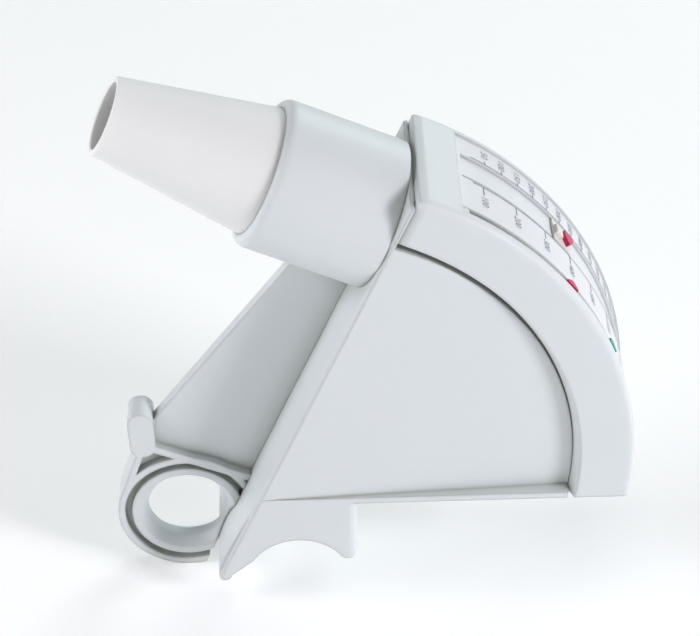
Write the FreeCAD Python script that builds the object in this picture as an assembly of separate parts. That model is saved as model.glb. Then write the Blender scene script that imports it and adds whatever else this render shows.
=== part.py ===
"""Hand-held peak flow meter with a swinging vane in a fan-shaped case.

The inlet tube blows onto a vane that swings about a steel pin. The vane pushes a pointer
along a slot in the curved scale cover. Lengths are in millimetres and angles in degrees.
The model is drawn about the centre of the scale arc, with X to the right, Y through the
thickness and Z up, and is moved at the end so that Z = 0 lies under its lowest point.
"""
import FreeCAD, Part
import math
import os

V = FreeCAD.Vector
ORIGIN = V(0, 0, 0)
ACROSS = V(0, 1, 0)

# How far a cutter reaches past what it cuts
past = 1.0

# Scale cover
cover_width = 35.5
cover_radius = 82.0
cover_wall = 2.0
cover_edge_round = 1.5
cover_end_bevel = 2.0
cover_end_bevel_rise = 0.7
cover_sweep = 95.0
cover_sweep_below = 20.0
band_depth = 12.8
band_bevel = 1.6
skirt_depth = 3.5
skirt_wall = 2.0
cover_setback = 1.2
label_recess = 0.8
label_margin = 2.4
label_start_angle = 60.3
slot_centre_y = 3.85
slot_width = 9.2
slot_high_angle = 59.4
slot_low_angle = 4.0

# Case shells
side_slope = 2.9
chamber_half_width = 12.3
shell_wall = 2.2
end_wall = 2.0
end_angle = 66.8
end_offset = 2.4
end_edge_bevel = 0.7
base_drop = 11.75
base_wall = 2.0
rail_height = 1.7
seat_gap = 0.1

# Foot with its thumb rest
foot_right = 16.5
foot_edge_round = 2.2
thumb_x = 2.3
thumb_z = -35.4
thumb_radius = 12.5
thumb_front_angle = 38.0
thumb_rear_angle = 150.0
thumb_roof_front_angle = 48.0
thumb_roof_rear_angle = 128.0
front_horn_tip_x = 14.9
front_horn_tip_z = -29.0
front_horn_side_z = -26.1
rear_horn_tip_x = -15.7
rear_horn_tip_z = -35.1
rear_horn_in_x = -13.9
rear_horn_in_z = -33.6
rear_horn_side_x = -16.8
rear_horn_side_z = -31.8
rear_horn_top_x = -15.8
rear_horn_top_z = -29.0
fin_thickness = 2.3

# Handle web with its hanging ring
web_thickness = 3.2
rib_thickness = 7.6
rib_width = 2.0
rib_drop = 17.1
web_corner_x = -32.0
web_corner_z = 1.8
web_lean = 53.3
web_tongue = 0.5
web_fit = 0.1
web_top = 46.0
ring_x = -24.4
ring_z = -24.87
ring_hole_radius = 9.7
ring_land = 2.4
ring_flare = 1.9
ring_wall = 1.9
ring_groove = 1.7
ring_rim = 1.7
lug_radius = 3.1
lug_top_x = -34.6
lug_top_z = 2.6
lug_low_x = -34.3
lug_low_z = -4.2

# Inlet tube
tube_angle = 25.0
tube_height = 64.0
tube_wall = 2.45
tube_mouth = -34.5
tube_mouth_round = 2.6
air_bore_radius = 13.2
socket_depth = 13.0
tube_spigot_radius = 12.0
tube_spigot_wall = 1.3
tube_spigot_fit = 0.1
funnel_start = -7.6
funnel_length = 2.5
round_facets = 3

# Mouthpiece
spigot_radius = 15.0
spigot_clearance = 0.05
mouthpiece_wall = 1.4
mouthpiece_tip = -72.3
mouthpiece_tip_radius = 9.35
mouthpiece_shoulder = -41.3
mouthpiece_shoulder_radius = 13.95
mouthpiece_lip_round = 0.6
spigot_step = 0.45
spigot_inset = 12.0
spigot_lead = 5.0

# Vane and its pivot
pin_radius = 0.6
pin_length = 29.0
hub_radius = 1.5
hub_relief = 0.1
bearing_radius = 1.5
bearing_length = 2.8
bearing_stand = 0.2
running_clearance = 0.03
vane_thickness = 1.0
vane_side_gap = 0.45
vane_tip_gap = 0.6
vane_rib = 1.4
vane_rib_start = 1.0
vane_rib_share = 0.8
vane_rib_spread = 0.6
hub_end_gap = 0.2
zero_travel = 19.8
full_travel = 30.0

# Return spring
spring_arm_reach = 8.0
spring_arm_turn = 100.0
spring_arm_width = 1.6
spring_arm_thickness = 1.6
spring_stud = 0.6
spring_near = 1.0
spring_width = 1.6
spring_strip = 0.3
spring_eye_gap = 0.05
spring_coil_radius = 3.2
spring_half_turns = 4
spring_pitch = 0.9
spring_post_x = 24.0
spring_post_z = -5.4
spring_post_radius = 1.2
spring_post_stand = 0.5

# Pointer and its track
pointer_angle = 37.0
pointer_play = 0.15
track_land_drop = 0.5
track_land_gap = 0.1
track_wing = 2.0
track_wing_thickness = 1.5
track_gap = 0.1
slit_width = 1.2
slit_inset = 1.0
tail_thickness = 0.7
tail_length = 2.0
tail_reach = 2.6
tail_lead = 1.0
slider_length = 6.4
slider_thickness = 0.5
arrow_length = 3.3
arrow_width = 4.0
grip_length = 2.4
grip_width = 3.2
grip_round = 0.4
pointer_top = 1.1
seat_play = 0.04

# Zone markers
marker_groove_width = 2.2
marker_groove_depth = 1.0
marker_undercut = 0.5
marker_undercut_depth = 0.55
marker_edge = 0.45
marker_play = 0.08
marker_length = 3.8
marker_height = 1.0
marker_shoulder = 0.4
marker_tip = 0.3
red_marker_angle = 36.5
green_marker_angle = 22.5
marker_low_angle = 5.0
marker_high_angle = 58.6

# Label
label_thickness = 0.3
label_gap = 0.1

# Stops and exhaust
stop_gap = 0.3
stop_width = 10.0
zero_stop_reach = 30.0
zero_stop_length = 6.0
full_stop_x = 33.0
full_stop_length = 5.0
full_stop_near = 4.5
full_stop_far = 9.5
grille_left = 40.0
grille_right = 68.0
grille_half_width = 9.0
grille_rim = 1.6
grille_fit = 0.1
grille_bars = 6
grille_bar = 1.6
grille_flange = 1.2
grille_flange_thickness = 0.8

# Values that follow from the ones above
half_width = cover_width / 2
skirt_in_y = half_width - skirt_depth
inner_y = chamber_half_width
label_floor = cover_radius - label_recess
label_edge_y = half_width - label_margin
cover_inside = label_floor - cover_wall
shell_radius = cover_inside - seat_gap
slot_near = slot_centre_y - slot_width / 2
slot_far = slot_centre_y + slot_width / 2
band_radius = cover_radius - band_depth
socket_radius = spigot_radius + spigot_clearance
tube_radius = socket_radius + tube_wall
track_land = label_floor - track_land_drop
wing_top = cover_inside - track_gap
wing_bottom = wing_top - track_wing_thickness
vane_length = wing_bottom - vane_tip_gap
ring_mouth_radius = ring_hole_radius + ring_flare
ring_outer = ring_mouth_radius + ring_wall + ring_groove + ring_rim
slit_near = slot_near + slit_inset
slit_far = slit_near + slit_width
slider_top = track_land + pointer_play + slider_thickness
tail_side_gap = (slit_width - tail_thickness) / 2
groove_near = -label_edge_y + marker_edge
groove_far = groove_near + marker_groove_width
label_near = groove_far + label_gap
far_cut = 3 * cover_radius


def direction(angle):
    """Unit vector in the X-Z plane at an angle above +X."""
    return V(math.cos(math.radians(angle)), 0, math.sin(math.radians(angle)))


def polar(radius, angle, y=0.0):
    """Point at a radius and angle about the scale arc's centre."""
    return direction(angle) * radius + ACROSS * y


along_end = direction(end_angle)
off_end = direction(end_angle - 90)
along_tube = direction(-tube_angle)
off_tube = direction(90 - tube_angle)
tube_axis = off_tube * tube_height
pivot = ORIGIN
tail_angle = pointer_angle + math.degrees(tail_lead / label_floor)
vane_angle = tail_angle + math.degrees((tail_length / 2 + stop_gap + vane_thickness / 2) / vane_length)


def at_end(off, along):
    """Point measured off the end wall's outer face, and along it from the arc's centre."""
    return off_end * (off - end_offset) + along_end * along


def on_tube(place, radius=0.0):
    """Point on the tube's axis, or above it by a radius, at a place along the tube."""
    return tube_axis + along_tube * place + off_tube * radius


def line(a, b):
    return Part.LineSegment(a, b).toShape()


def arc(a, through, b):
    return Part.Arc(a, through, b).toShape()


def polygon(points):
    return [line(a, b) for a, b in zip(points, points[1:] + points[:1])]


def prism(edges, low_y, high_y):
    """Solid between two thickness planes with the outline of the given edges."""
    face = Part.Face(Part.Wire(edges))
    face.translate(ACROSS * low_y)
    return face.extrude(ACROSS * (high_y - low_y))


def disc(centre, radius, low_y, high_y):
    return Part.makeCylinder(radius, high_y - low_y, centre + ACROSS * low_y, ACROSS)


def sector(inner, outer, low_angle, high_angle, low_y, high_y):
    """Piece of a ring about the arc's centre."""
    middle = (low_angle + high_angle) / 2
    edges = [
        arc(polar(outer, high_angle), polar(outer, middle), polar(outer, low_angle)),
        line(polar(outer, low_angle), polar(inner, low_angle)),
        arc(polar(inner, low_angle), polar(inner, middle), polar(inner, high_angle)),
        line(polar(inner, high_angle), polar(outer, high_angle)),
    ]
    return prism(edges, low_y, high_y)


def arc_box(angle, length, inner, outer, low_y, high_y):
    """Short ring piece centred on an angle, with its length measured on the outer radius."""
    spread = math.degrees(length / outer) / 2
    return sector(inner, outer, angle - spread, angle + spread, low_y, high_y)


def solid_of(shape):
    """Single clean solid of a boolean result."""
    shape = shape.removeSplitter()
    if len(shape.Solids) != 1:
        raise ValueError("expected one solid, found %d" % len(shape.Solids))
    return shape.Solids[0]


def between(low, high, share=0.5):
    return low + (high - low) * share


def half_space(off):
    """Everything on the tube's side of a plane parallel to the end wall, as a flat prism."""
    corners = [at_end(off, -far_cut), at_end(off, far_cut), at_end(-far_cut, far_cut), at_end(-far_cut, -far_cut)]
    return prism(polygon(corners), -half_width, half_width)


def end_to_base(outer, off, drop):
    """Where an arc meets a plane along the end wall and a level plane, and the arc between."""
    inset = off - end_offset
    top = at_end(off, math.sqrt(outer ** 2 - inset ** 2))
    low = V(math.sqrt(outer ** 2 - drop ** 2), 0, -drop)
    middle = (top + low).normalize() * outer
    return top, arc(top, middle, low), low


def case_outline():
    """Side view of a shell: fan, level base, and foot with two horns round the thumb rest."""
    top, rim, low = end_to_base(shell_radius, 0.0, base_drop)
    thumb = V(thumb_x, 0, thumb_z)
    thumb_front = thumb + direction(thumb_front_angle) * thumb_radius
    thumb_rear = thumb + direction(thumb_rear_angle) * thumb_radius
    heel = at_end(0.0, (rear_horn_tip_z + 0.4) / along_end.z)
    rear_in = V(rear_horn_in_x, 0, rear_horn_in_z)
    rear_tip = V(rear_horn_tip_x, 0, rear_horn_tip_z)
    front_side = V(foot_right, 0, front_horn_side_z)
    return [
        rim,
        line(low, V(foot_right, 0, -base_drop)),
        line(V(foot_right, 0, -base_drop), front_side),
        arc(front_side, V(front_horn_tip_x, 0, front_horn_tip_z), thumb_front),
        arc(thumb_front, thumb + direction((thumb_front_angle + thumb_rear_angle) / 2) * thumb_radius, thumb_rear),
        line(thumb_rear, rear_in),
        arc(rear_in, rear_tip, heel),
        line(heel, top),
    ]


def case_hollow():
    """Side view of the space inside a shell: the vane's chamber, open to the hollow foot."""
    top, rim, low = end_to_base(cover_inside + past, end_wall, base_drop - base_wall)
    thumb = V(thumb_x, 0, thumb_z)
    roof = thumb_radius + shell_wall
    foot_in = foot_right - shell_wall
    roof_front = thumb + direction(thumb_roof_front_angle) * roof
    roof_rear = thumb + direction(thumb_roof_rear_angle) * roof
    heel = at_end(end_wall, (roof_rear.z - end_offset * off_end.z) / along_end.z)
    return [
        rim,
        line(low, V(foot_in, 0, low.z)),
        line(V(foot_in, 0, low.z), V(foot_in, 0, roof_front.z)),
        line(V(foot_in, 0, roof_front.z), roof_front),
        arc(roof_front, thumb + direction((thumb_roof_front_angle + thumb_roof_rear_angle) / 2) * roof, roof_rear),
        line(roof_rear, heel),
        line(heel, top),
    ]


def side_fin():
    """Flare of a side plate beyond the end wall, down to the rear horn."""
    corners = [
        at_end(0.5, -rib_drop),
        at_end(0.0, -rib_drop),
        V(rear_horn_top_x, 0, rear_horn_top_z),
        V(rear_horn_side_x, 0, rear_horn_side_z),
        at_end(0.0, (rear_horn_tip_z + 0.8) / along_end.z),
        at_end(0.5, (rear_horn_tip_z + 1.2) / along_end.z),
    ]
    return prism(polygon(corners), -half_width, -half_width + fin_thickness)


def side_recess():
    """Cutter that slopes the side wall inwards from the end wall, inside the band and above the rail."""
    near = -half_width
    run = far_cut
    drop = run * math.tan(math.radians(side_slope))
    start, finish = at_end(0.0, -far_cut), at_end(0.0, far_cut)
    wedge = Part.Face(Part.Wire(polygon([
        start + ACROSS * near, start + off_end * run + ACROSS * near,
        start + off_end * run + ACROSS * (near + drop),
    ]))).extrude(finish - start)
    above = Part.makeBox(far_cut, half_width, far_cut, V(-far_cut / 2, near - past, rail_height - base_drop))
    return wedge.common(above)


def skirt_step():
    """Cutter for the step in the shell's edge that the cover's skirt sits in."""
    inner = band_radius - band_bevel - seat_gap
    ring = disc(ORIGIN, cover_radius + past, -half_width - past, -skirt_in_y + seat_gap)
    ring = ring.cut(disc(ORIGIN, inner, -half_width - 2 * past, 0))
    return ring.cut(half_space(cover_setback - seat_gap))


def quarter_round(turn):
    """Corner rounding of a given radius in flat steps, as (back, drop) pairs from its first face."""
    angles = [math.radians(90 * step / round_facets) for step in range(round_facets + 1)]
    return [(turn * (1 - math.sin(angle)), turn * (1 - math.cos(angle))) for angle in angles]


def turned(stations):
    """Solid turned about the tube's axis from (place, radius) pairs."""
    points = [on_tube(place, radius) for place, radius in stations]
    return Part.Face(Part.Wire(polygon(points))).revolve(tube_axis, along_tube, 360)


def tube_root():
    """Place on the tube's axis where the end wall's outer face crosses it."""
    return tube_height * math.tan(math.radians(90 - end_angle - tube_angle)) - end_offset


def inlet_tube():
    """Tube with a rounded mouth, a socket for the mouthpiece and a spigot through the end wall."""
    deep = tube_root() + 3 * end_wall
    mouth = [(tube_mouth + back, tube_radius - drop) for back, drop in quarter_round(tube_mouth_round)]
    barrel = turned([(tube_mouth, 0)] + mouth[::-1] + [(deep, tube_radius), (deep, 0)])
    barrel = barrel.common(half_space(-seat_gap))
    spigot = turned([(funnel_start, 0), (funnel_start, tube_spigot_radius), (deep, tube_spigot_radius), (deep, 0)])
    barrel = barrel.fuse(spigot.common(half_space(end_wall)))
    step = tube_mouth + socket_depth
    socket = socket_radius
    port = tube_spigot_radius - tube_spigot_wall
    bore = turned([(tube_mouth - past, 0), (tube_mouth - past, socket), (step, socket), (step, air_bore_radius),
                   (funnel_start, air_bore_radius), (funnel_start + funnel_length, port), (deep + past, port),
                   (deep + past, 0)])
    return solid_of(barrel.cut(bore))


def tube_hole():
    """Cutter for the spigot's hole in the end wall."""
    length = 4 * end_wall
    return Part.makeCylinder(tube_spigot_radius + tube_spigot_fit, length, on_tube(tube_root() - length / 2),
                             along_tube)


def web_outline():
    """Thin web between the tube, the end wall and the ring, with its tongue in the end wall."""
    corner = V(web_corner_x, 0, web_corner_z)
    lean = direction(web_lean)
    under_tube = tube_height - tube_radius + seat_gap + past
    reach = (under_tube - off_tube.dot(corner)) / off_tube.dot(lean)
    return polygon([
        corner,
        corner + lean * reach,
        at_end(-seat_gap, under_tube),
        at_end(-seat_gap, web_top),
        at_end(web_tongue, web_top),
        at_end(web_tongue, web_low()),
        at_end(-seat_gap, web_low()),
        V(ring_x, 0, ring_z - ring_mouth_radius - ring_wall),
        V(ring_x - ring_mouth_radius - ring_wall, 0, ring_z),
        V(lug_low_x, 0, lug_low_z),
        V(lug_top_x, 0, lug_top_z),
    ])


def web_low():
    """Lower end of the web's tongue, measured along the end wall."""
    return (ring_z - ring_wall) / along_end.z


def web_slot():
    """Cutter for the slot in the end wall that holds the web's tongue."""
    deep = web_tongue + web_fit
    corners = [at_end(-past, web_low() - web_fit), at_end(deep, web_low() - web_fit),
               at_end(deep, web_top + web_fit), at_end(-past, web_top + web_fit)]
    wide = web_thickness / 2 + web_fit
    return prism(polygon(corners), -wide, wide)


def stadium(a, b, radius):
    """Edges of a bar with round ends between two points."""
    run = (b - a).normalize()
    side = V(-run.z, 0, run.x) * radius
    return [
        line(a + side, b + side),
        arc(b + side, b + run * radius, b - side),
        line(b - side, a - side),
        arc(a - side, a - run * radius, a + side),
    ]


def ring_hole():
    """Cutter for the near half of the ring's hole, a short land that flares to the face."""
    centre = V(ring_x, 0, ring_z)
    land, face = -ring_land / 2, -rib_thickness / 2
    corners = [V(0, 0, 0), V(ring_hole_radius, 0, 0), V(ring_hole_radius, land, 0),
               V(ring_mouth_radius, face, 0), V(0, face, 0)]
    profile = Part.Face(Part.Wire(polygon([centre + corner for corner in corners])))
    return profile.revolve(centre, ACROSS, 360)


def handle():
    """Web with its rib, lug, and ring with a raised rim, seated on the end wall and under the tube."""
    centre = V(ring_x, 0, ring_z)
    rib_y = rib_thickness / 2
    web_y = web_thickness / 2
    boss_radius = ring_mouth_radius + ring_wall
    groove_radius = boss_radius + ring_groove
    lug_top, lug_low = V(lug_top_x, 0, lug_top_z), V(lug_low_x, 0, lug_low_z)
    rib_end = at_end(end_wall, -rib_drop)
    rib_start = rib_end - off_end * off_end.dot(rib_end - lug_low)
    waist = centre + direction(158) * (groove_radius + ring_rim / 2)
    plate = disc(centre, groove_radius, -web_y, web_y)
    plate = plate.fuse(disc(centre, boss_radius, -rib_y, rib_y))
    plate = plate.fuse(disc(centre, ring_outer, -rib_y, rib_y).cut(disc(centre, groove_radius, -rib_y, rib_y)))
    plate = plate.fuse(prism(stadium(rib_start, rib_end, rib_width / 2), -rib_y, rib_y))
    plate = plate.fuse(prism(stadium(lug_top, lug_low, lug_radius), -rib_y, rib_y))
    plate = plate.fuse(prism(stadium(lug_low, waist, ring_rim / 2), -rib_y, rib_y))
    plate = plate.common(half_space(-seat_gap)).fuse(prism(web_outline(), -web_y, web_y))
    plate = plate.cut(ring_hole()).cut(other_side(ring_hole()))
    seat = tube_radius + seat_gap
    return solid_of(plate.cut(turned([(tube_mouth - past, 0), (tube_mouth - past, seat), (end_wall, seat), (end_wall, 0)])))


def end_bevel(off, rise, run):
    """Cutter that bevels the edge between the near side and a plane along the end wall."""
    side = -half_width
    start, finish = at_end(off, -far_cut), at_end(off, far_cut)
    wedge = Part.Face(Part.Wire(polygon([
        start - off_end + ACROSS * (side - past), start + off_end * run + ACROSS * (side - past),
        start + off_end * run + ACROSS * side, start + ACROSS * (side + rise), start - off_end + ACROSS * (side + rise),
    ])))
    return wedge.extrude(finish - start)


def foot_rounding():
    """Cutter that rounds the near upright edge at the foot's right side."""
    turn = foot_edge_round
    height = base_drop - front_horn_tip_z
    corner = V(foot_right - turn, -half_width, -base_drop - height)
    block = Part.makeBox(turn + past, turn, height, corner)
    return block.cut(Part.makeCylinder(turn, height, corner + ACROSS * turn))


def near_shell():
    """Near shell: side plate, half end wall, half base and half foot."""
    body = prism(case_outline(), -half_width, 0).fuse(side_fin())
    body = body.cut(side_recess().common(disc(ORIGIN, band_radius, -2 * half_width, 0)))
    body = body.cut(skirt_step()).cut(end_bevel(0.0, end_edge_bevel, end_edge_bevel)).cut(foot_rounding())
    body = body.cut(prism(case_hollow(), -inner_y, 0)).cut(tube_hole()).cut(web_slot())
    body = body.cut(disc(pivot, hub_radius + hub_relief, -inner_y, 0))
    body = body.cut(disc(pivot, bearing_radius, -inner_y - bearing_length + bearing_stand, 0))
    vent = Part.makeBox(grille_right - grille_left, 2 * grille_half_width, base_wall + 2 * past,
                        V(grille_left, -grille_half_width, -base_drop - past))
    return solid_of(body.cut(vent))


def cover_section():
    """Section of the cover in radius and thickness, without the label recess."""
    pocket_y = half_width - skirt_wall
    edge = [V(cover_radius - back, half_width - drop, 0) for back, drop in quarter_round(cover_edge_round)]
    outer = [V(band_radius, half_width, 0)] + edge
    inner = [V(cover_inside, pocket_y, 0), V(band_radius + skirt_wall, pocket_y, 0),
             V(band_radius + skirt_wall, skirt_in_y, 0), V(band_radius - band_bevel, skirt_in_y, 0)]
    loop = outer + [V(p.x, -p.y, 0) for p in outer[::-1]] + [V(p.x, -p.y, 0) for p in inner[::-1]] + inner
    return Part.Face(Part.Wire(polygon(loop)))


def cover_top_bevel():
    """Cutter that bevels the cover's top edge at its end beside the tube."""
    top = math.sqrt(cover_radius ** 2 - (cover_setback - end_offset) ** 2)
    rise, run = cover_end_bevel_rise, cover_end_bevel
    above = top + past
    corners = [at_end(cover_setback, top - rise), at_end(cover_setback + run, top), at_end(cover_setback + run, above),
               at_end(cover_setback - past, above), at_end(cover_setback - past, top - rise)]
    return prism(polygon(corners), -half_width, half_width)


def scale_cover():
    """U-section cover bent round the arc, with label recess, pointer slot and marker groove."""
    body = cover_section().revolve(ORIGIN, ACROSS, -cover_sweep)
    body.rotate(ORIGIN, ACROSS, cover_sweep_below)
    side_bevel = end_bevel(cover_setback, cover_end_bevel_rise, cover_end_bevel)
    body = body.cut(half_space(cover_setback)).cut(cover_top_bevel()).cut(side_bevel).cut(other_side(side_bevel))
    body = body.cut(Part.makeBox(far_cut, far_cut, far_cut, V(-far_cut / 2, -far_cut / 2, -base_drop - far_cut)))
    beyond = cover_radius + past
    below = -20.0
    floor = label_floor - marker_groove_depth
    undercut = floor + marker_undercut_depth
    body = body.cut(sector(label_floor, beyond, below, label_start_angle, -label_edge_y, label_edge_y))
    body = body.cut(sector(cover_inside - past, beyond, slot_low_angle, slot_high_angle, slot_near, slot_far))
    body = body.cut(sector(floor, beyond, marker_low_angle, marker_high_angle, groove_near, groove_far))
    body = body.cut(sector(floor, undercut, marker_low_angle, marker_high_angle,
                           groove_near - marker_undercut, groove_far + marker_undercut))
    return solid_of(body)


def gap_angle(gap, radius):
    return math.degrees(gap / radius)


def scale_label():
    """Thin printed strip in the cover's recess, open over the slot."""
    margin = gap_angle(label_gap, label_floor)
    low_angle = -math.degrees(math.asin(base_drop / label_floor)) + margin
    strip = sector(label_floor, label_floor + label_thickness, low_angle, label_start_angle - margin,
                   label_near, label_edge_y - label_gap)
    opening = sector(label_floor - past, label_floor + past, slot_low_angle - margin, slot_high_angle + margin,
                     slot_near - label_gap, slot_far + label_gap)
    return solid_of(strip.cut(opening))


def pointer_track():
    """Curved rail that fills the slot from below and leaves a slit for the pointer's tail."""
    margin = gap_angle(track_land_gap, track_land)
    wing_margin = gap_angle(track_wing, track_land)
    low, high = slot_low_angle + margin, slot_high_angle - margin
    land = sector(wing_bottom, track_land, low, high, slot_near + track_land_gap, slot_far - track_land_gap)
    wing = sector(wing_bottom, wing_top, low - wing_margin, high + wing_margin,
                  slot_near - track_wing, slot_far + track_wing)
    slit = sector(wing_bottom - past, track_land + past, low, high, slit_near, slit_far)
    return solid_of(land.fuse(wing).cut(slit))


def tangent_block(angle, outline, inner, outer):
    """Block on the arc with a flat outline of (distance up the scale, thickness) points."""
    onward = direction(angle - 90)
    corners = [polar(inner, angle, y) + onward * x for x, y in outline]
    return Part.Face(Part.Wire(polygon(corners))).extrude(direction(angle) * (outer - inner))


def pointer_slider():
    """Low slider on the track with a thin tail down through the slit into the chamber."""
    floor = track_land + pointer_play
    plate = arc_box(pointer_angle, slider_length, floor, slider_top, slit_near + tail_side_gap,
                    slot_far - 2 * track_land_gap)
    tail = arc_box(tail_angle, tail_length, vane_length - tail_reach, slider_top,
                   slit_near + tail_side_gap, slit_far - tail_side_gap)
    return solid_of(plate.fuse(tail))


def pointer_arrow():
    """Red arrow on the slider, its point towards the coarse scale."""
    near, far = slot_centre_y - arrow_width / 2, slot_centre_y + arrow_width / 2
    half = arrow_length / 2
    shoulder = near + arrow_width * 0.55
    outline = [(half, far), (-half, far), (-half, shoulder), (0.0, near), (half, shoulder)]
    angle = pointer_angle - gap_angle(slider_length / 2 - half, slider_top)
    return tangent_block(angle, outline, slider_top + seat_play, slider_top + pointer_top)


def pointer_grip():
    """Low ridge behind the arrow for the finger that pushes the pointer back."""
    angle = pointer_angle + gap_angle((slider_length - grip_length) / 2, slider_top)
    low, high = slot_centre_y - grip_width / 2, slot_centre_y + grip_width / 2
    outline = [(-grip_length / 2, low), (grip_length / 2, low), (grip_length / 2, high), (-grip_length / 2, high)]
    ridge = tangent_block(angle, outline, slider_top + seat_play, slider_top + pointer_top)
    top = [edge for edge in ridge.Edges
           if all((v.Point.dot(direction(angle)) > slider_top + pointer_top - 0.01) for v in edge.Vertexes)]
    return solid_of(ridge.makeFillet(grip_round, top))


def zone_marker(angle):
    """Slider that clips in the groove beside the scale, with its point towards the figures."""
    base = label_floor - marker_groove_depth
    low, high = groove_near + marker_play, groove_far - marker_play
    half = marker_length / 2
    wide = marker_undercut
    foot = tangent_block(angle, [(-half, low - wide), (half, low - wide), (half, high + wide), (-half, high + wide)],
                         base + marker_play, base + marker_undercut_depth - marker_play)
    shoulder = between(low, high, marker_shoulder)
    outline = [(-half, low), (half, low), (half, shoulder), (marker_tip, high), (-marker_tip, high), (-half, shoulder)]
    stem = tangent_block(angle, outline, base + marker_play, label_floor + marker_height)
    return solid_of(foot.fuse(stem))


def blade_slab(start, end, low_off, high_off, low_y, high_y):
    """Flat piece along the vane at rest, between two distances from the pin."""
    run = direction(vane_angle)
    up = direction(vane_angle + 90)
    corners = [pivot + run * start + up * low_off, pivot + run * end + up * low_off,
               pivot + run * end + up * high_off, pivot + run * start + up * high_off]
    return prism(polygon(corners), low_y, high_y)


def vane_blade():
    """Flat vane with stiffening ribs on the side away from the breath."""
    half = vane_thickness / 2
    wide = inner_y - vane_side_gap
    blade = blade_slab(0, vane_length, -half, half, -wide, wide)
    for y in (-wide * vane_rib_spread, 0.0, wide * vane_rib_spread):
        blade = blade.fuse(blade_slab(hub_radius + vane_rib_start, vane_length * vane_rib_share, -half - vane_rib, 0, y - half, y + half))
    return solid_of(blade.cut(disc(pivot, hub_radius, -half_width, half_width)))


def arm_tip():
    return pivot + direction(vane_angle - spring_arm_turn) * spring_arm_reach


def vane_hub():
    """Sleeve on the pin that carries the vane, with an arm for the return spring."""
    half = inner_y - hub_end_gap - bearing_stand
    arm_y = spring_arm_thickness / 2
    hub = disc(pivot, hub_radius, -half, half)
    hub = hub.fuse(prism(stadium(pivot, arm_tip(), spring_arm_width / 2), -arm_y, arm_y))
    hub = hub.fuse(disc(arm_tip(), spring_stud, 0, spring_near + spring_width + spring_post_stand))
    return solid_of(hub.cut(disc(pivot, pin_radius, -half_width, half_width)))


def pivot_pin():
    return disc(pivot, pin_radius, -pin_length / 2, pin_length / 2)


def near_bearing():
    """Plain bush in the near side wall for one end of the pin."""
    inner = -inner_y + bearing_stand
    bush = disc(pivot, bearing_radius, inner - bearing_length, inner)
    return bush.cut(disc(pivot, pin_radius + running_clearance, -half_width, 0))


def half_turn(centre, up, radius, side):
    """Half a turn of the spring's strip, on one side of its up direction."""
    across = V(up.z, 0, -up.x) * side
    outer, inner = radius + spring_strip / 2, radius - spring_strip / 2
    edges = [
        arc(centre + up * outer, centre + across * outer, centre - up * outer),
        line(centre - up * outer, centre - up * inner),
        arc(centre - up * inner, centre + across * inner, centre + up * inner),
        line(centre + up * inner, centre + up * outer),
    ]
    return prism(edges, spring_near, spring_near + spring_width)


def return_spring():
    """Flat steel strip: an eye round the arm's stud, a straight run and a coil round the post."""
    start, post = arm_tip(), V(spring_post_x, 0, spring_post_z)
    rise = math.degrees(math.asin(spring_coil_radius / (post - start).Length))
    run = direction(math.degrees(math.atan2(post.z - start.z, post.x - start.x)) + rise)
    up = V(-run.z, 0, run.x)
    thick = up * (spring_strip / 2)
    eye = spring_stud + spring_eye_gap
    far_y = spring_near + spring_width
    first = start + run * (eye + spring_strip / 2)
    last = post + up * spring_coil_radius
    spring = prism(polygon([first + thick, last + thick, last - thick, first - thick]), spring_near, far_y)
    spring = spring.fuse(disc(start, eye + spring_strip, spring_near, far_y).cut(disc(start, eye, 0, far_y + past)))
    for half in range(spring_half_turns):
        lowered = up * (-spring_pitch / 2 if half % 2 else 0)
        radius = spring_coil_radius - half * spring_pitch / 2
        spring = spring.fuse(half_turn(post + lowered, up, radius, -1 if half % 2 else 1))
    return solid_of(spring)


def spring_post():
    """Peg from the far side wall that holds the spring's coil."""
    post = V(spring_post_x, 0, spring_post_z)
    return disc(post, spring_post_radius, spring_near - spring_post_stand, inner_y)


def zero_bumper():
    """Rubber pad on the end wall where the vane comes to rest."""
    angle = vane_angle + zero_travel
    run = direction(angle)
    lift = direction(angle + 90) * (vane_thickness / 2 + stop_gap)
    a = pivot + run * zero_stop_reach + lift
    b = pivot + run * (zero_stop_reach + zero_stop_length) + lift
    corners = [a, b, at_end(end_wall, along_end.dot(b)), at_end(end_wall, along_end.dot(a))]
    return prism(polygon(corners), -stop_width / 2, stop_width / 2)


def full_bumper():
    """Rubber block on the base that catches the vane past full scale."""
    angle = vane_angle - full_travel
    slope = math.tan(math.radians(angle))
    drop = (vane_thickness / 2 + vane_rib + stop_gap) / math.cos(math.radians(angle))
    left, right = full_stop_x - full_stop_length / 2, full_stop_x + full_stop_length / 2
    floor = -base_drop + base_wall
    corners = [V(left, 0, floor), V(right, 0, floor), V(right, 0, right * slope - drop),
               V(left, 0, left * slope - drop)]
    return prism(polygon(corners), full_stop_near, full_stop_far)


def exhaust_grille():
    """Slotted plate that snaps into the base's outlet, with a flange inside."""
    low, high = grille_left + grille_fit, grille_right - grille_fit
    wide = grille_half_width - grille_fit
    floor = -base_drop
    plate = Part.makeBox(high - low, 2 * wide, base_wall + seat_gap, V(low, -wide, floor))
    flange = Part.makeBox(high - low + 2 * grille_flange, 2 * (wide + grille_flange), grille_flange_thickness,
                          V(low - grille_flange, -wide - grille_flange, floor + base_wall + seat_gap))
    plate = plate.fuse(flange)
    window = high - low - 2 * grille_rim
    slot = (window - (grille_bars - 1) * grille_bar) / grille_bars
    deep = base_wall + seat_gap + grille_flange_thickness + 2 * past
    for k in range(grille_bars):
        left = low + grille_rim + k * (slot + grille_bar)
        plate = plate.cut(Part.makeBox(slot, 2 * (wide - grille_rim), deep, V(left, -wide + grille_rim, floor - past)))
    return solid_of(plate)


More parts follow.
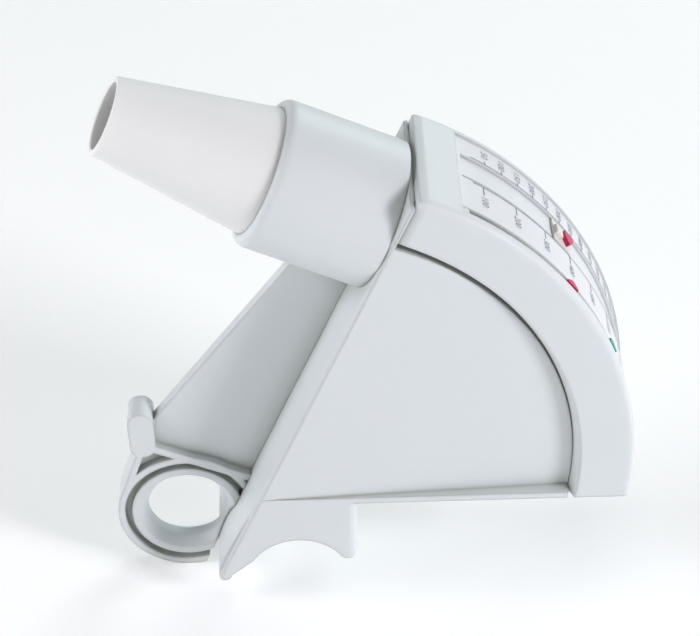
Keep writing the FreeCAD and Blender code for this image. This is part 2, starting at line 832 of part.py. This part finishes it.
def mouthpiece():
    """Tapered throw-away mouthpiece whose spigot pushes into the tube."""
    wall = mouthpiece_wall
    end = tube_mouth + spigot_inset
    return turned([
        (mouthpiece_tip, mouthpiece_tip_radius - mouthpiece_lip_round),
        (mouthpiece_tip + mouthpiece_lip_round, mouthpiece_tip_radius),
        (mouthpiece_shoulder, mouthpiece_shoulder_radius),
        (tube_mouth - spigot_lead, spigot_radius - spigot_step),
        (tube_mouth, spigot_radius),
        (end, spigot_radius),
        (end, spigot_radius - spigot_step - wall),
        (mouthpiece_shoulder, spigot_radius - spigot_step - wall),
        (mouthpiece_shoulder, mouthpiece_shoulder_radius - wall),
        (mouthpiece_tip, mouthpiece_tip_radius - wall),
    ])


def other_side(shape):
    """Mirror image across the middle plane."""
    return shape.mirror(ORIGIN, ACROSS)


near_half = near_shell()
bush = near_bearing()
pieces = {
    "near_shell": near_half,
    "far_shell": other_side(near_half),
    "inlet_tube": inlet_tube(),
    "handle": handle(),
    "scale_cover": scale_cover(),
    "scale_label": scale_label(),
    "pointer_track": pointer_track(),
    "pointer_slider": pointer_slider(),
    "pointer_arrow": pointer_arrow(),
    "pointer_grip": pointer_grip(),
    "red_marker": zone_marker(red_marker_angle),
    "green_marker": zone_marker(green_marker_angle),
    "vane_blade": vane_blade(),
    "vane_hub": vane_hub(),
    "pivot_pin": pivot_pin(),
    "near_bearing": bush,
    "far_bearing": other_side(bush),
    "return_spring": return_spring(),
    "spring_post": spring_post(),
    "zero_bumper": zero_bumper(),
    "full_bumper": full_bumper(),
    "exhaust_grille": exhaust_grille(),
    "mouthpiece": mouthpiece(),
}

left_side = on_tube(mouthpiece_tip, -mouthpiece_tip_radius).x
lowest = ring_z - ring_outer
shift = V(-(left_side + cover_radius) / 2, 0, -lowest)
os.makedirs("parts", exist_ok=True)
for name, shape in pieces.items():
    shape.translate(shift)
    shape.exportStep("parts/%s.step" % name)
    print(name, len(shape.Solids), round(shape.Volume, 1), shape.isValid())
print("shift", shift)
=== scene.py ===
"""Looks of a hand-held peak flow meter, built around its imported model.

Lengths are written in millimetres about the centre of the scale's arc, with X to the right,
Y through the thickness and Z up, and are turned to metres in the model's frame by place().
Materials and lights are in metres, with noise scales per metre.
"""
import math

import bmesh
import bpy
import numpy as np
from mathutils import Matrix, Vector


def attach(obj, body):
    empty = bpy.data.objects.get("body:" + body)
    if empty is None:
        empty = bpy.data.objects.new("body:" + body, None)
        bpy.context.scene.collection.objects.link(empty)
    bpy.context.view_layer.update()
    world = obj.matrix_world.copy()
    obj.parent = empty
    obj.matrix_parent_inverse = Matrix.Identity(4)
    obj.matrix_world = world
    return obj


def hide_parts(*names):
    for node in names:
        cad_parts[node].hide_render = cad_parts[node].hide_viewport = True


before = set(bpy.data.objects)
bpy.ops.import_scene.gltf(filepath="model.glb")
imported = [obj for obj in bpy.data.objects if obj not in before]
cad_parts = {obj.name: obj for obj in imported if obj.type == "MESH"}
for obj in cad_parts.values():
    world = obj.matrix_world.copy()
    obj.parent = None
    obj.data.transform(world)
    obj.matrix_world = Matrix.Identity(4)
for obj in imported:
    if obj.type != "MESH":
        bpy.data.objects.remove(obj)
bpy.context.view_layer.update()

# The arc's centre in the model's frame, in millimetres
CENTRE = np.array([-19.785, 0.0, 41.77])
MM = 0.001

# Printed scale: the label's top, the ink above it, and the base lines' ends in degrees
LABEL_TOP = 81.5
INK_LIFT = 0.03
INK_HEIGHT = 0.02
LINE_WIDTH = 0.32
LINE_LOW = 5.5
LINE_HIGH = 57.5
ROWS_PER_DEGREE = 2
NUMBER_HEIGHT = 1.9
FONT_PER_HEIGHT = 1.4
FONT_STEPS = 3

# Rows of the scale. Through the thickness: the base line, the ticks' length from it, and the
# numbers' middle. Down the arc: the first tick and the step in degrees, the count, and the unit.
COARSE = {"line": -1.2, "tick": -3.0, "number": -6.8,
          "start": 55.5, "step": 6.68, "count": 8, "unit": 100}
FINE = {"line": 8.9, "tick": 1.2, "number": 12.5,
        "start": 54.6, "step": 3.47, "count": 14, "unit": 50}

# Noise patterns of the finishes: scale, detail and, where it isn't the usual one, roughness
FLOW_CLOUD = (38.0, 4.0)
SATIN_GRAIN = (2600.0, 2.0)
SCUFFS = (190.0, 5.0, 0.7)
INK_COVER = (1500.0, 3.0)
FILM_WAVE = (60.0, 2.0)
WIRE_STREAKS = (900.0, 4.0, 0.7)
PAPER_FLECK = (400.0, 2.0)

# How far the patterns change colour (shares), roughness (widths) and relief
FLOW_SHARE = 0.5
SCUFF_WIDTH = 0.22
SCUFF_RELIEF = 0.6
PLASTIC_ROUGHNESS = 0.42
PLASTIC_RELIEF = 0.000018
INK_THIN_SHARE = 0.35
INK_THIN_MOST = 0.3
INK_PALER = (0.55, 0.42)
INK_ROUGHNESS = 0.45
FILM_SHARE = 0.3
FILM_SHADE = 0.96
FILM_ROUGHNESS = 0.34
FILM_WIDTH = 0.12
FILM_RELIEF = 0.000008
STREAK_SHARE = 0.4
STREAK_SHADE = 0.8
STREAK_WIDTH = 0.2

# Refraction, and how deep light scatters inside pale plastic
PLASTIC_IOR = 1.46
FILM_IOR = 1.5
SCATTER_DEPTH = 0.002

# Painted shade in the corners of moulded pieces, an olive darkening of the base colour from ambient
# occlusion: its reach, and how fast it builds up
CORNER_REACH = 0.009
CORNER_SAMPLES = 6
CORNER_GAIN = 2.1
CORNER_START = 0.32
CORNER_SHADE_COLOUR = (0.30, 0.33, 0.26)

# Softened edges of moulded pieces
SOFT_EDGE = 0.0012
EDGE_SAMPLES = 4

# Plastics: colour, the shade of its flow clouds, and what differs from the usual, among it the
# share of painted shade in the corners
PLASTICS = {
    "case_plastic": {"colour": (0.69, 0.725, 0.74), "shadow": (0.66, 0.70, 0.715),
                     "scatter": 0.05, "edge": SOFT_EDGE, "corner_shade": 0.55},
    "track_plastic": {"colour": (0.73, 0.75, 0.78), "shadow": (0.70, 0.73, 0.75)},
    "slider_plastic": {"colour": (0.74, 0.72, 0.67), "shadow": (0.70, 0.68, 0.63)},
    "red_plastic": {"colour": (0.60, 0.02, 0.10), "shadow": (0.52, 0.02, 0.09),
                    "roughness": 0.4},
    "green_plastic": {"colour": (0.04, 0.42, 0.32), "shadow": (0.03, 0.36, 0.28),
                      "roughness": 0.4},
    "vane_plastic": {"colour": (0.72, 0.73, 0.72), "shadow": (0.68, 0.70, 0.69)},
    "bearing_plastic": {"colour": (0.78, 0.77, 0.72), "shadow": (0.74, 0.73, 0.68)},
    "bumper_rubber": {"colour": (0.04, 0.04, 0.045), "shadow": (0.03, 0.03, 0.035),
                      "roughness": 0.7},
    "mouthpiece_paper": {"colour": (0.84, 0.84, 0.83), "shadow": (0.81, 0.81, 0.80),
                         "roughness": 0.6, "scatter": 0.5, "corner_shade": 0.3},
}

# The other finishes
FILM_COLOUR = (0.73, 0.745, 0.77)
INK_COLOUR = (0.16, 0.20, 0.24)
STEEL_COLOUR = (0.62, 0.63, 0.64)
STEEL_ROUGHNESS = 0.22

# The model pieces that have each finish
WORN_BY = {
    "case_plastic": ("near_shell", "far_shell", "inlet_tube", "handle", "scale_cover",
                     "exhaust_grille"),
    "label_film": ("scale_label",),
    "track_plastic": ("pointer_track",),
    "slider_plastic": ("pointer_slider", "pointer_grip"),
    "red_plastic": ("pointer_arrow", "red_marker"),
    "green_plastic": ("green_marker",),
    "vane_plastic": ("vane_blade", "vane_hub"),
    "pin_steel": ("pivot_pin", "return_spring"),
    "bearing_plastic": ("near_bearing", "far_bearing", "spring_post"),
    "bumper_rubber": ("zero_bumper", "full_bumper"),
    "mouthpiece_paper": ("mouthpiece",),
}

# Inlet tube: its line through the fan's plane, places along it, radii about it, and the reach
# of its rounded corners
TUBE_ANGLE = 25.0
TUBE_HEIGHT = 64.0
TUBE_RADIUS = 17.5
TUBE_MOUTH = -34.5
MOUTH_ROUND = 2.4
TUBE_ROOT = -4.51
ROOT_LEAN = math.tan(math.radians(1.8))
SOCKET_RADIUS = 15.05
SOCKET_END = -21.5
SOCKET_ROUND = 0.2
AIR_BORE = 13.2
FUNNEL = (-7.6, -5.1)
FUNNEL_ROUND = 0.4
PORT_RADIUS = 10.7
SPIGOT_END = -2.41
SPIGOT_RADIUS = 12.0

# Mouthpiece, about the same line
PAPER_TIP = -72.15
PAPER_TIP_RADIUS = 9.22
PAPER_WALL = 1.4
PAPER_END = -22.5
PAPER_SPIGOT = 15.0
PAPER_BORE = 13.15
PAPER_BEND = -38.0
LIP_ROUND = 0.55
TAPER_ROUND = 1.5
PAPER_END_ROUND = 0.3
BEND_ROUND = 2.0

# How finely turned pieces are cut, and the angle from which their edges stay sharp
TURNS = 128
CORNER_STEPS = 7
SHARP_ANGLE = 40.0

# Lights: place, size, power and colour, all aimed at one point
LIGHTS = {
    "key": ((0.87, -0.51, 0.48), 0.3, 7.7, (0.96, 0.95, 1.0)),
    "left_fill": ((-0.8, -0.12, 0.5), 0.5, 4.5, (0.96, 0.96, 1.0)),
    "back_rim": ((0.4, 0.8, 0.6), 0.5, 3.2, (0.85, 1.0, 0.98)),
    "top_fill": ((0.1, 0.0, 1.1), 0.5, 1.6, (1.0, 0.96, 0.96)),
}
LIT_POINT = (0.0, 0.0, 0.07)
SURROUND = 0.05
SURROUND_COLOUR = (0.97, 1.0, 1.0, 1.0)

# Floor paper: its glow near and far, where the glow grows (in metres), its colours, its flat
# rings, the sweep up beyond them, and the steps of both in degrees
FLOOR_GLOW = 0.2
FAR_GLOW = 0.55
GLOW_START = 0.5
GLOW_END = 1.6
FLOOR_ROUGHNESS = 0.8
FLOOR_SHARE = 0.3
FLOOR_COLOURS = ((0.9, 0.9, 0.9, 1.0), (0.87, 0.87, 0.87, 1.0))
FLOOR_GAP = 0.05
FLAT_RINGS = [1.0, 400.0, 1200.0]
SWEEP_START = 1800.0
SWEEP_RADIUS = 1000.0
SWEEP_RISE = 80
SWEEP_RINGS = 12
FLOOR_STEP = 5

# Camera in the model's frame, from the fit to the photograph; its focal length is in pixels
PHOTO_WIDTH = 700
PHOTO_FOCAL = 2900.0
SENSOR = 36.0
CLIP_START = 0.01
CAMERA_PLACE = (2.4, -537.1, 442.1)
CAMERA_RIGHT = (0.9994, -0.0321, -0.0094)
CAMERA_DOWN = (-0.0269, -0.6079, -0.7936)
CAMERA_FORWARD = (0.0198, 0.7934, -0.6084)


def place(points):
    """Points in millimetres about the arc's centre, as metres in the model's frame."""
    return (np.asarray(points, float) + CENTRE) * MM


def arc_point(radius, degrees, y):
    """Points on the scale's arc: (radius cos a, y, radius sin a) for an angle a."""
    a = np.radians(degrees)
    return np.stack(np.broadcast_arrays(radius * np.cos(a), y, radius * np.sin(a)), axis=-1)


def tube_point(along, radius, turn):
    """Points round the inlet tube's line: a place along it, then out by the radius, turned by
    an angle in degrees from its top: out = radius (cos turn * up + sin turn * side)."""
    t, w = math.radians(TUBE_ANGLE), np.radians(turn)
    axis = np.array([math.cos(t), 0, -math.sin(t)])
    up = np.array([math.sin(t), 0, math.cos(t)])
    side = np.array([0, 1, 0])
    along, radius, w = np.broadcast_arrays(along, radius, w)
    out = radius[..., None] * (np.cos(w)[..., None] * up + np.sin(w)[..., None] * side)
    return TUBE_HEIGHT * up + along[..., None] * axis + out


class Shade:
    """A socket of a material, so that shader maths reads as an expression."""

    def __init__(self, finish, socket):
        self.finish = finish
        self.socket = socket

    def math(self, operation, *others):
        return self.finish.node("ShaderNodeMath", {"operation": operation}, [self, *others])

    def __add__(self, other):
        return self.math("ADD", other)

    def __mul__(self, other):
        return self.math("MULTIPLY", other)

    def __sub__(self, other):
        return self.math("SUBTRACT", other)

    def __rsub__(self, other):
        return self.finish.node("ShaderNodeMath", {"operation": "SUBTRACT"}, [other, self])

    __radd__ = __add__
    __rmul__ = __mul__

    def clamp(self, low, high):
        return self.math("MAXIMUM", low).math("MINIMUM", high)


class Finish:
    """A procedural material with one Principled shader."""

    def __init__(self, name, **constants):
        self.material = bpy.data.materials.new(name)
        self.material.use_nodes = True
        self.tree = self.material.node_tree
        self.tree.nodes.clear()
        self.shader = self.tree.nodes.new("ShaderNodeBsdfPrincipled")
        output = self.tree.nodes.new("ShaderNodeOutputMaterial")
        self.tree.links.new(self.shader.outputs[0], output.inputs[0])
        for socket, value in constants.items():
            self.shader.inputs[socket.replace("_", " ")].default_value = value

    def node(self, kind, settings=None, values=(), output=0):
        """Adds a node: its settings first, then its sockets by number or by name."""
        made = self.tree.nodes.new(kind)
        for key, value in (settings or {}).items():
            if key == "stops":
                for element, (position, grey) in zip(made.color_ramp.elements, value):
                    element.position = position
                    element.color = (grey, grey, grey, 1.0)
            else:
                setattr(made, key, value)
        pairs = values.items() if isinstance(values, dict) else enumerate(values)
        for key, value in pairs:
            if isinstance(value, Shade):
                self.tree.links.new(value.socket, made.inputs[key])
            elif value is not None:
                made.inputs[key].default_value = value
        return Shade(self, made.outputs[output])

    def here(self):
        """Object coordinates."""
        return self.node("ShaderNodeTexCoord", output=3)

    def noise(self, scale, detail, roughness=0.55):
        return self.node("ShaderNodeTexNoise", None, {
            "Vector": self.here(), "Scale": scale, "Detail": detail, "Roughness": roughness})

    def blend(self, factor, first, second):
        """Mixes two colours, which go into the node's sockets 6 and 7."""
        return self.node("ShaderNodeMix", {"data_type": "RGBA"},
                         {0: factor, 6: first, 7: second}, output=2)

    def feed(self, socket, value):
        self.tree.links.new(value.socket, self.shader.inputs[socket])

    def bump(self, height, distance, edge=None):
        """Surface relief, over edges that are softened by the given radius where there is one."""
        soft = None
        if edge:
            soft = self.node("ShaderNodeBevel", {"samples": EDGE_SAMPLES}, {"Radius": edge})
        self.feed("Normal", self.node("ShaderNodeBump", None, {
            "Distance": distance, "Height": height, "Normal": soft}))


def opaque(colour, shade=1.0):
    """A colour times a shade, with full alpha."""
    return tuple(shade * c for c in colour) + (1.0,)


def moulded(name, colour, shadow, roughness=PLASTIC_ROUGHNESS, scatter=0.0, edge=None, corner_shade=0.0):
    """Injection-moulded plastic: faint flow clouds, fine satin grain, a few soft scuffs, and
    olive painted shade in the corners where it is asked for."""
    finish = Finish(name, IOR=PLASTIC_IOR, Subsurface_Weight=scatter,
                    Subsurface_Scale=SCATTER_DEPTH, Subsurface_Radius=(1.0, 1.0, 1.0))
    base = finish.blend(finish.noise(*FLOW_CLOUD) * FLOW_SHARE, opaque(colour), opaque(shadow))
    # Painted shade: corners and hollows that ambient occlusion finds are darkened toward olive in
    # the base colour
    if corner_shade:
        open_sky = finish.node("ShaderNodeAmbientOcclusion", {"samples": CORNER_SAMPLES},
                               {"Distance": CORNER_REACH}, output=1)
        shade_share = ((1.0 - open_sky) * CORNER_GAIN - CORNER_START).clamp(0.0, 1.0)
        base = finish.blend(shade_share * corner_shade, base, opaque(CORNER_SHADE_COLOUR))
    finish.feed("Base Color", base)
    scuff = finish.noise(*SCUFFS)
    finish.feed("Roughness", scuff * SCUFF_WIDTH + (roughness - SCUFF_WIDTH / 2))
    finish.bump(finish.noise(*SATIN_GRAIN) + scuff * SCUFF_RELIEF, PLASTIC_RELIEF, edge)
    return finish.material


def ink(name, colour):
    """Screen-printed ink, a little uneven in cover."""
    finish = Finish(name, Roughness=INK_ROUGHNESS)
    thin = (finish.noise(*INK_COVER) * INK_THIN_SHARE).clamp(0.0, INK_THIN_MOST)
    share, lift = INK_PALER
    paler = tuple(share * c + lift for c in colour)
    finish.feed("Base Color", finish.blend(thin, opaque(colour), opaque(paler)))
    return finish.material


def film(name, colour):
    """Glossy printed label film with slight waviness."""
    finish = Finish(name, IOR=FILM_IOR)
    wave = finish.noise(*FILM_WAVE)
    finish.feed("Base Color", finish.blend(
        wave * FILM_SHARE, opaque(colour), opaque(colour, FILM_SHADE)))
    finish.feed("Roughness", wave * FILM_WIDTH + FILM_ROUGHNESS)
    finish.bump(wave, FILM_RELIEF)
    return finish.material


def metal(name, colour, roughness):
    """Drawn steel with fine streaks."""
    finish = Finish(name, Metallic=1.0)
    streak = finish.noise(*WIRE_STREAKS)
    finish.feed("Base Color", finish.blend(
        streak * STREAK_SHARE, opaque(colour), opaque(colour, STREAK_SHADE)))
    finish.feed("Roughness", streak * STREAK_WIDTH + roughness)
    return finish.material


def floor_paper():
    """Pale matte paper with a painted glow, faint near the object and growing far from it."""
    finish = Finish("floor_paper", Roughness=FLOOR_ROUGHNESS, Emission_Strength=1.0)
    away = finish.node("ShaderNodeVectorMath", {"operation": "LENGTH"}, [finish.here()], output=1)
    share = (away - GLOW_START) * (1 / (GLOW_END - GLOW_START))
    finish.feed("Emission Color", finish.node(
        "ShaderNodeValToRGB", {"stops": [(0.0, FLOOR_GLOW), (1.0, FAR_GLOW)]}, [share]))
    finish.feed("Base Color", finish.blend(
        finish.noise(*PAPER_FLECK) * FLOOR_SHARE, *FLOOR_COLOURS))
    return finish.material


def new_mesh(name, points, faces, material, smooth=True):
    """Object at the origin from points in millimetres and faces by index."""
    mesh = bpy.data.meshes.new(name)
    mesh.from_pydata(place(points).tolist(), [], [list(map(int, f)) for f in faces])
    mesh.materials.append(material)
    mesh.validate()
    if smooth:
        mesh.polygons.foreach_set("use_smooth", np.ones(len(mesh.polygons), bool))
    piece = bpy.data.objects.new(name, mesh)
    bpy.context.scene.collection.objects.link(piece)
    return piece


def grid_faces(rows, columns, close_rows=False, close_columns=False):
    """Quads of a grid of points, wrapped round in either direction where asked."""
    r = np.arange(rows if close_rows else rows - 1)
    c = np.arange(columns if close_columns else columns - 1)
    i, j = np.meshgrid(r, c, indexing="ij")
    i, j = i.ravel(), j.ravel()
    k, m = (i + 1) % rows, (j + 1) % columns
    corners = [i * columns + j, i * columns + m, k * columns + m, k * columns + j]
    return np.stack(corners, axis=1)


def recalculate(piece):
    """Turns every face of a closed piece outwards."""
    work = bmesh.new()
    work.from_mesh(piece.data)
    bmesh.ops.recalc_face_normals(work, faces=work.faces)
    work.to_mesh(piece.data)
    work.free()


def join(name, parts):
    """One object from several."""
    bpy.ops.object.select_all(action="DESELECT")
    for part in parts:
        part.select_set(True)
    bpy.context.view_layer.objects.active = parts[0]
    bpy.ops.object.join()
    whole = bpy.context.view_layer.objects.active
    whole.name = name
    return whole


def printed_strip(name, low, high, near, far, material):
    """Line of ink bent over the scale: two grids on the arc, one an ink's height above the
    other, joined by their border, from angle low to high and thickness near to far."""
    rows, columns = int((high - low) * ROWS_PER_DEGREE) + 2, 2
    angle = np.linspace(low, high, rows)[:, None]
    y = np.linspace(near, far, columns)[None, :]
    base = LABEL_TOP + INK_LIFT
    top = arc_point(base + INK_HEIGHT, angle, y).reshape(-1, 3)
    bottom = arc_point(base, angle, y).reshape(-1, 3)
    quads = grid_faces(rows, columns)
    n = rows * columns
    border = np.concatenate([
        np.arange(columns), np.arange(1, rows) * columns + columns - 1,
        n - 2 - np.arange(columns - 1), np.arange(rows - 2, 0, -1) * columns])
    following = np.roll(border, -1)
    wall = np.stack([border, following, following + n, border + n], axis=1)
    faces = np.concatenate([quads, quads[:, ::-1] + n, wall])
    return new_mesh(name, np.concatenate([top, bottom]), faces, material, smooth=False)


def printed_number(text, degrees, y, material):
    """Figures bent over the scale: a flat point (u, v) goes to thickness y - u and to an angle
    lower by v over the radius, so that they run from the far side to the near side, with their
    tops down the arc, as the user reads them from behind the mouthpiece."""
    curve = bpy.data.curves.new("figures", "FONT")
    curve.body = text
    curve.size = NUMBER_HEIGHT * FONT_PER_HEIGHT
    curve.align_x = "CENTER"
    curve.align_y = "CENTER"
    curve.resolution_u = FONT_STEPS
    holder = bpy.data.objects.new("figures", curve)
    bpy.context.scene.collection.objects.link(holder)
    bpy.context.view_layer.update()
    mesh = bpy.data.meshes.new_from_object(holder)
    bpy.data.objects.remove(holder)
    flat = np.zeros(len(mesh.vertices) * 3)
    mesh.vertices.foreach_get("co", flat)
    flat = flat.reshape(-1, 3)
    faces = [tuple(p.vertices) for p in mesh.polygons]
    bpy.data.meshes.remove(mesh)
    angle = degrees - np.degrees(flat[:, 1] / LABEL_TOP)
    points = arc_point(LABEL_TOP + INK_LIFT + INK_HEIGHT, angle, y - flat[:, 0])
    return new_mesh("figures", points, faces, material, smooth=False)


def printed_scale(material):
    """Both rows of the scale: base lines, ticks and plain numbers."""
    half = LINE_WIDTH / 2
    parts = [printed_strip("line", LINE_LOW, LINE_HIGH, row["line"] - half, row["line"] + half,
                           material) for row in (COARSE, FINE)]
    half_angle = math.degrees(half / (LABEL_TOP + INK_LIFT))
    for row in (COARSE, FINE):
        near, far = sorted((row["line"], row["line"] + row["tick"]))
        for k in range(row["count"]):
            a = row["start"] - k * row["step"]
            parts.append(printed_strip("tick", a - half_angle, a + half_angle, near, far, material))
            parts.append(printed_number(str((k + 1) * row["unit"]), a, row["number"], material))
    scale = join("scale_print", parts)
    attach(scale, "case")


def eased(corners):
    """Closed profile from (place, radius, lean, reach) corners. Each corner p is rounded by a
    quadratic curve between points a and b its reach away: (1-s)^2 a + 2s(1-s) p + s^2 b."""
    points = []
    for k, (*corner, reach) in enumerate(corners):
        p = np.array(corner)
        if reach == 0:
            points.append(p)
            continue
        ends = []
        for other in (corners[k - 1], corners[(k + 1) % len(corners)]):
            way = np.array(other[:3]) - p
            ends.append(p + way * reach / np.hypot(*way[:2]))
        for s in np.linspace(0, 1, CORNER_STEPS):
            points.append((1 - s) ** 2 * ends[0] + 2 * s * (1 - s) * p + s ** 2 * ends[1])
    return np.array(points)


def turned(name, corners, material, body, node):
    """Smooth piece turned about the tube's line, in place of its faceted model node. A point of
    the profile lies at place - lean * radius * cos(turn), so a profile may end on the slanted
    end wall."""
    profile = eased(corners)
    turn = np.arange(TURNS) * 360 / TURNS
    level, radius, lean = (profile[:, k, None] for k in range(3))
    along = level - lean * radius * np.cos(np.radians(turn))
    points = tube_point(along, radius, turn).reshape(-1, 3)
    piece = new_mesh(name, points, grid_faces(len(profile), TURNS, True, True), material)
    recalculate(piece)
    piece.data.set_sharp_from_angle(angle=math.radians(SHARP_ANGLE))
    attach(piece, body)
    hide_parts(node)


def tube(material):
    """Inlet tube: rounded mouth, socket, air bore, funnel, and the spigot that enters the end
    wall."""
    turned("tube_moulding", [
        (TUBE_ROOT, TUBE_RADIUS, ROOT_LEAN, 0),
        (TUBE_MOUTH, TUBE_RADIUS, 0, MOUTH_ROUND),
        (TUBE_MOUTH, SOCKET_RADIUS, 0, 0),
        (SOCKET_END, SOCKET_RADIUS, 0, SOCKET_ROUND),
        (SOCKET_END, AIR_BORE, 0, SOCKET_ROUND),
        (FUNNEL[0], AIR_BORE, 0, FUNNEL_ROUND),
        (FUNNEL[1], PORT_RADIUS, 0, FUNNEL_ROUND),
        (SPIGOT_END, PORT_RADIUS, ROOT_LEAN, 0),
        (SPIGOT_END, SPIGOT_RADIUS, ROOT_LEAN, 0),
        (TUBE_ROOT, SPIGOT_RADIUS, ROOT_LEAN, 0),
    ], material, "case", "inlet_tube")


def mouthpiece(material):
    """Throw-away mouthpiece: one straight taper from its rounded lip to the tube's mouth, and the
    spigot in the socket."""
    turned("mouthpiece_sleeve", [
        (PAPER_TIP, PAPER_TIP_RADIUS, 0, LIP_ROUND),
        (TUBE_MOUTH, PAPER_SPIGOT, 0, TAPER_ROUND),
        (PAPER_END, PAPER_SPIGOT, 0, PAPER_END_ROUND),
        (PAPER_END, PAPER_BORE, 0, PAPER_END_ROUND),
        (PAPER_BEND, PAPER_BORE, 0, BEND_ROUND),
        (PAPER_TIP, PAPER_TIP_RADIUS - PAPER_WALL, 0, LIP_ROUND),
    ], material, "mouthpiece", "mouthpiece")


def dress_nodes():
    """Gives every model piece its finish, and returns the finishes by name."""
    finishes = {name: moulded(name, **look) for name, look in PLASTICS.items()}
    finishes["label_film"] = film("label_film", FILM_COLOUR)
    finishes["pin_steel"] = metal("pin_steel", STEEL_COLOUR, STEEL_ROUGHNESS)
    for finish, nodes in WORN_BY.items():
        for node in nodes:
            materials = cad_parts[node].data.materials
            materials.clear()
            materials.append(finishes[finish])
    return finishes


def camera():
    """Camera of the photograph: its place and three axes, and its field of view."""
    lens = bpy.data.cameras.new("camera")
    lens.sensor_width = SENSOR
    lens.lens = PHOTO_FOCAL / PHOTO_WIDTH * SENSOR
    lens.clip_start = CLIP_START
    viewer = bpy.data.objects.new("camera", lens)
    bpy.context.scene.collection.objects.link(viewer)
    up, back = [-v for v in CAMERA_DOWN], [-v for v in CAMERA_FORWARD]
    axes = Matrix((CAMERA_RIGHT, up, back)).transposed()
    viewer.matrix_world = Matrix.Translation(Vector(place(CAMERA_PLACE))) @ axes.to_4x4()
    bpy.context.scene.camera = viewer


def area_light(name, at, size, power, colour):
    """Square soft light aimed at the object's middle."""
    data = bpy.data.lights.new(name, "AREA")
    data.size = size
    data.energy = power
    data.color = colour
    lamp = bpy.data.objects.new(name, data)
    bpy.context.scene.collection.objects.link(lamp)
    lamp.location = at
    lamp.rotation_euler = (Vector(LIT_POINT) - Vector(at)).to_track_quat("-Z", "Y").to_euler()


def studio():
    """White surround, soft lights, and a pale floor that sweeps up all round: flat rings, then
    radius start + r sin(rise) and height r (1 - cos(rise)), turned about the object."""
    rise = np.radians(np.linspace(0, SWEEP_RISE, SWEEP_RINGS))
    radius = np.concatenate([FLAT_RINGS, SWEEP_START + SWEEP_RADIUS * np.sin(rise)])[:, None]
    height = np.concatenate([np.zeros(len(FLAT_RINGS)), SWEEP_RADIUS * (1 - np.cos(rise))])[:, None]
    turn = np.radians(np.arange(0, 360, FLOOR_STEP))
    points = np.stack(np.broadcast_arrays(
        radius * np.cos(turn) - CENTRE[0], radius * np.sin(turn),
        height - CENTRE[2] - FLOOR_GAP), axis=-1).reshape(-1, 3)
    rings = grid_faces(len(radius), len(turn), False, True)[:, ::-1].tolist()
    floor = new_mesh("floor", points, [list(range(len(turn)))] + rings, floor_paper())
    world = bpy.data.worlds.new("surround")
    world.use_nodes = True
    background = world.node_tree.nodes["Background"]
    background.inputs[0].default_value = SURROUND_COLOUR
    background.inputs[1].default_value = SURROUND
    bpy.context.scene.world = world
    for name, light in LIGHTS.items():
        area_light(name, *light)


bpy.context.scene.view_settings.view_transform = "Standard"
finishes = dress_nodes()
tube(finishes["case_plastic"])
mouthpiece(finishes["mouthpiece_paper"])
printed_scale(ink("scale_ink", INK_COLOUR))
camera()
studio()
